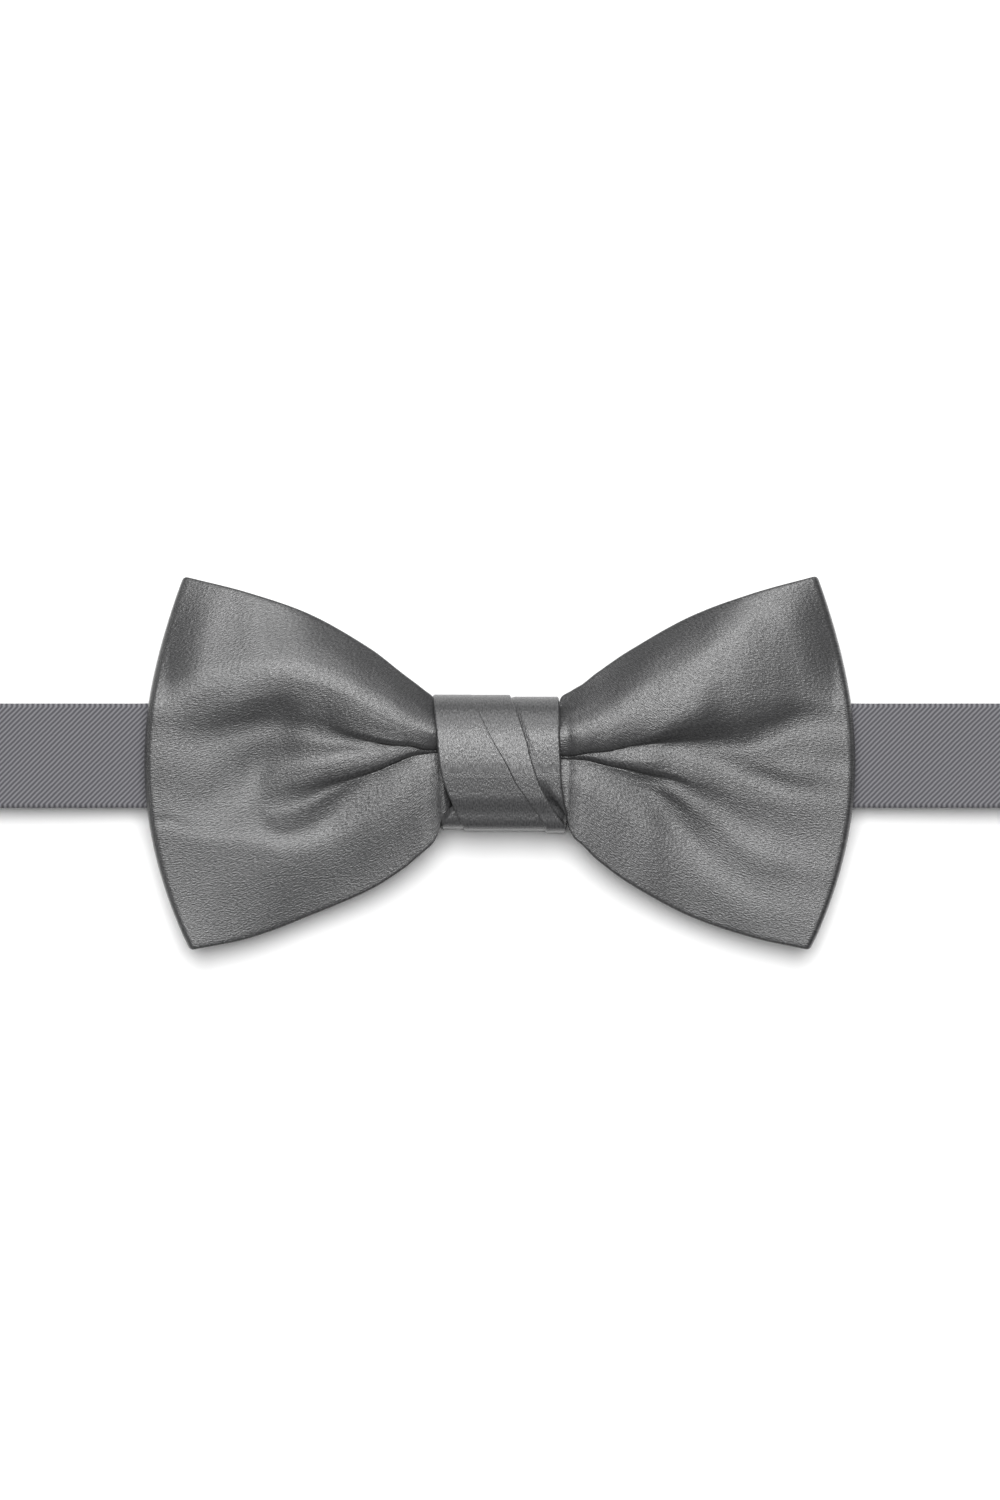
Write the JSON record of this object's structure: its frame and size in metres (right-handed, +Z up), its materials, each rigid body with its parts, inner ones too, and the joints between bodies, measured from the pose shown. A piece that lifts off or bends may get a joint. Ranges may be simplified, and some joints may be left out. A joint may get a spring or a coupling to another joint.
{
  "type": "pre-tied bow tie",
  "caption": "Pre-tied satin bow tie: a gathered butterfly bow held by a wound knot on a twill neck band, closed at the back by a plain metal clasp.",
  "frame": {"origin": "on the surface that the bow tie lies on, below the middle of the bow", "axes": "+X along the neck band towards the right wing, +Y towards the bow's upper edge, +Z up, out of the front of the bow"},
  "size_m": [0.1966, 0.0626, 0.0195],
  "materials": {
    "bow_satin": "soft grey satin with a broad sheen",
    "knot_satin": "soft grey satin with a broad sheen",
    "band_twill": "matt grey twill with fine slanting ribs",
    "clasp_metal": "plain satin steel"
  },
  "bodies": {
    "root": {"bow": "bow_satin", "knot": "knot_satin", "neck_band": "band_twill", "clasp": "clasp_metal"}
  },
  "joints": []
}
